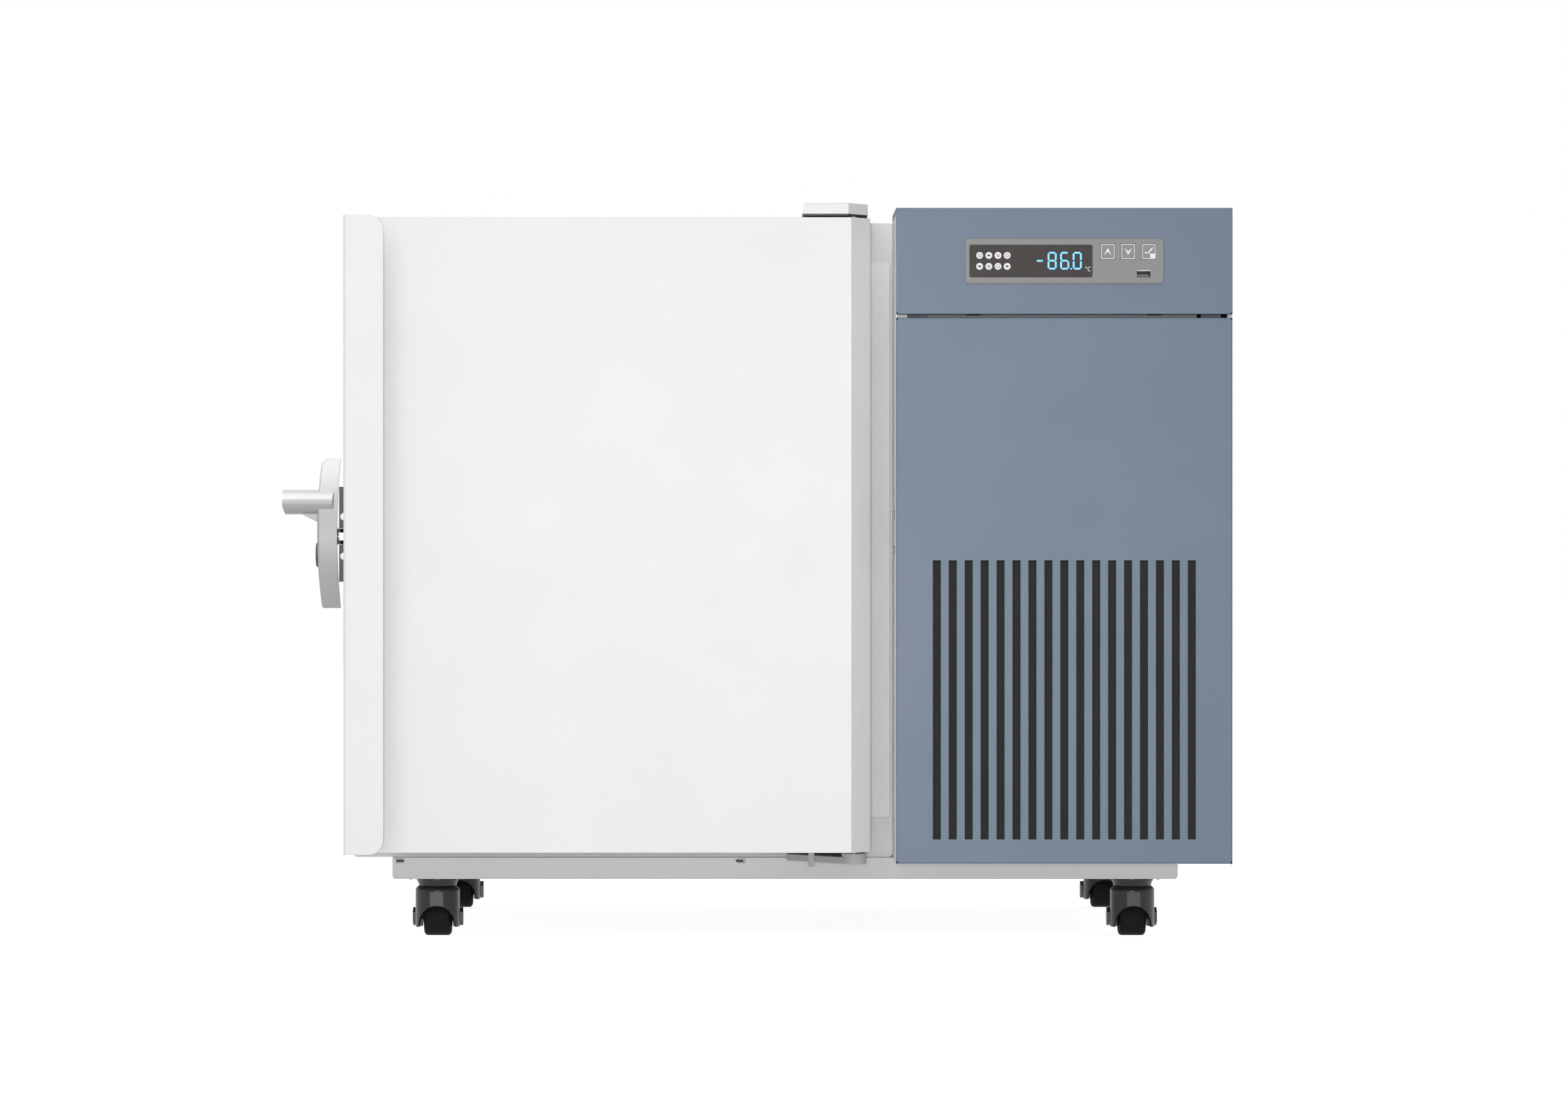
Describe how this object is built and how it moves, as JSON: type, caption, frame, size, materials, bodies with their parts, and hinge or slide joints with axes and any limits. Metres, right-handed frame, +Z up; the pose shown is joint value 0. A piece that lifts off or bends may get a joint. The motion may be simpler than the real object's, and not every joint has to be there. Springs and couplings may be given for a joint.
{
  "type": "ultra low temperature freezer",
  "caption": "Under-counter ultra low temperature freezer on swivel casters: insulated cabinet, pull-flange door with lever latch, inner doors, shelf, and a side unit with grille and controls",
  "frame": {"origin": "floor level under the middle of the whole object's bounding box", "axes": "+X to the right seen from the front, +Y to the back, +Z up; the front faces -Y"},
  "size_m": [1.0706, 0.7524, 0.836],
  "materials": {
    "cabinet_paint": "powder coat, light grey, satin",
    "door_paint": "powder coat, white, satin",
    "unit_paint": "powder coat, light grey, satin",
    "hinge_paint": "powder coat, light grey, satin",
    "blue_paint": "powder coat, grey-blue, satin",
    "frame_plastic": "moulded, light grey, satin",
    "white_plastic": "moulded, white",
    "black_plastic": "moulded, black",
    "switch_black": "moulded, black",
    "bezel_grey": "moulded, mid grey",
    "window_dark": "tinted, smooth",
    "key_grey": "moulded, mid grey",
    "handle_grey": "moulded, light grey",
    "handle_dark": "moulded, dark grey",
    "lock_dark": "cast, dark grey",
    "caster_black": "moulded, black",
    "wheel_black": "solid rubber, black",
    "rubber": "black",
    "gasket_grey": "light grey vinyl",
    "filter_black": "open foam in a frame",
    "foam": "rigid foam, pale yellow",
    "stainless": "brushed",
    "steel_fittings": "zinc plated",
    "galvanised": "galvanised sheet",
    "chrome": "bright plated",
    "aluminium": "plain",
    "copper": "plain copper tube",
    "motor_black": "painted black, semi-gloss"
  },
  "bodies": {
    "freezer": {"base_frame": "unit_paint", "caster_mounts": "caster_black", "cabinet_shell": "cabinet_paint", "front_frame": "frame_plastic", "inner_liner": "stainless", "cabinet_foam": "foam", "evaporator": "copper", "shelf": "stainless", "shelf_rails": "stainless", "inner_hinges": "stainless", "port_sleeve": "white_plastic", "hinge_brackets": "hinge_paint", "hinge_pins": "chrome", "hinge_cover": "white_plastic", "hinge_cover_base": "black_plastic", "latch_strike": "chrome", "unit_left_panel": "cabinet_paint", "unit_wrap": "cabinet_paint", "unit_rear_panel": "galvanised", "unit_floor": "galvanised", "control_hood": "blue_paint", "grille_panel": "blue_paint", "display_bezel": "bezel_grey", "display_window": "window_dark", "usb_socket": "chrome", "controller_box": "black_plastic", "air_filter": "filter_black", "condenser": "aluminium", "fan_shroud": "galvanised", "fan_motor": "motor_black", "compressor": "motor_black", "refrigerant_lines": "copper", "mains_inlet": "black_plastic", "rubber_pads": "rubber"},
    "door": {"door_shell": "door_paint", "door_foam": "foam", "door_inner_panel": "white_plastic", "pull_flange": "door_paint", "gasket": "gasket_grey", "door_fittings": "steel_fittings", "handle_mount": "handle_dark"},
    "lever": {"handle_lever": "handle_grey", "latch_claw": "chrome"},
    "lock": {"lock_cylinder": "lock_dark"},
    "inner_door_upper": {"inner_door_upper": "white_plastic"},
    "inner_door_lower": {"inner_door_lower": "white_plastic"},
    "port_plug": {"port_plug": "rubber"},
    "key_up": {"key_up": "key_grey"},
    "key_down": {"key_down": "key_grey"},
    "key_set": {"key_set": "key_grey"},
    "power_switch": {"power_switch": "switch_black"},
    "fan": {"fan_blade": "aluminium"},
    "swivel_front_left": {"fork_front_left": "caster_black"},
    "wheel_front_left": {"wheel_front_left": "wheel_black"},
    "swivel_front_right": {"fork_front_right": "caster_black"},
    "wheel_front_right": {"wheel_front_right": "wheel_black"},
    "swivel_rear_left": {"fork_rear_left": "caster_black"},
    "wheel_rear_left": {"wheel_rear_left": "wheel_black"},
    "swivel_rear_right": {"fork_rear_right": "caster_black"},
    "wheel_rear_right": {"wheel_rear_right": "wheel_black"}
  },
  "joints": [
    {"name": "door_hinge", "type": "hinge", "parent": "freezer", "child": "door", "pos_m": [0.11235, -0.30675, 0.4555], "axis": [0, 0, 1], "range_deg": [0, 100]},
    {"name": "inner_upper_hinge", "type": "hinge", "parent": "freezer", "child": "inner_door_upper", "pos_m": [0.06275, -0.20275, 0.5705], "axis": [0, 0, 1], "range_deg": [0, 60]},
    {"name": "inner_lower_hinge", "type": "hinge", "parent": "freezer", "child": "inner_door_lower", "pos_m": [0.06275, -0.20275, 0.3405], "axis": [0, 0, 1], "range_deg": [0, 60]},
    {"name": "handle_turn", "type": "hinge", "parent": "door", "child": "lever", "pos_m": [-0.48595, -0.28175, 0.4595], "axis": [1, 0, 0], "range_deg": [0, 60]},
    {"name": "lock_turn", "type": "hinge", "parent": "lever", "child": "lock", "pos_m": [-0.49575, -0.28575, 0.4388], "axis": [1, 0, 0], "range_deg": [0, 90]},
    {"name": "port_plug_pull", "type": "slide", "parent": "freezer", "child": "port_plug", "axis": [0, 1, 0], "range_m": [0, 0.075]},
    {"name": "power_switch_rock", "type": "hinge", "parent": "freezer", "child": "power_switch", "pos_m": [0.46675, 0.35125, 0.2415], "axis": [-1, 0, 0], "range_deg": [0, 12]},
    {"name": "fan_spin", "type": "hinge", "parent": "freezer", "child": "fan", "pos_m": [0.34685, -0.26575, 0.28075], "axis": [0, 1, 0], "continuous": true},
    {"name": "key_up_press", "type": "slide", "parent": "freezer", "child": "key_up", "axis": [0, 1, 0], "range_m": [0, 0.0008], "stiffness_N_per_m": 400},
    {"name": "key_down_press", "type": "slide", "parent": "freezer", "child": "key_down", "axis": [0, 1, 0], "range_m": [0, 0.0008], "stiffness_N_per_m": 400},
    {"name": "key_set_press", "type": "slide", "parent": "freezer", "child": "key_set", "axis": [0, 1, 0], "range_m": [0, 0.0008], "stiffness_N_per_m": 400},
    {"name": "swivel_front_left", "type": "hinge", "parent": "freezer", "child": "swivel_front_left", "pos_m": [-0.36465, -0.20375, 0.058], "axis": [0, 0, 1], "continuous": true},
    {"name": "roll_front_left", "type": "hinge", "parent": "swivel_front_left", "child": "wheel_front_left", "pos_m": [-0.36465, -0.18975, 0.0219], "axis": [1, 0, 0], "continuous": true},
    {"name": "swivel_front_right", "type": "hinge", "parent": "freezer", "child": "swivel_front_right", "pos_m": [0.43485, -0.20375, 0.058], "axis": [0, 0, 1], "continuous": true},
    {"name": "roll_front_right", "type": "hinge", "parent": "swivel_front_right", "child": "wheel_front_right", "pos_m": [0.43485, -0.18975, 0.0219], "axis": [1, 0, 0], "continuous": true},
    {"name": "swivel_rear_left", "type": "hinge", "parent": "freezer", "child": "swivel_rear_left", "pos_m": [-0.36465, 0.29625, 0.058], "axis": [0, 0, 1], "continuous": true},
    {"name": "roll_rear_left", "type": "hinge", "parent": "swivel_rear_left", "child": "wheel_rear_left", "pos_m": [-0.36465, 0.31025, 0.0219], "axis": [1, 0, 0], "continuous": true},
    {"name": "swivel_rear_right", "type": "hinge", "parent": "freezer", "child": "swivel_rear_right", "pos_m": [0.43485, 0.29625, 0.058], "axis": [0, 0, 1], "continuous": true},
    {"name": "roll_rear_right", "type": "hinge", "parent": "swivel_rear_right", "child": "wheel_rear_right", "pos_m": [0.43485, 0.31025, 0.0219], "axis": [1, 0, 0], "continuous": true}
  ],
  "couplings": [
    {"joint": "inner_upper_hinge", "follows": "door_hinge", "ratio": 0.6},
    {"joint": "inner_lower_hinge", "follows": "door_hinge", "ratio": 0.6}
  ]
}
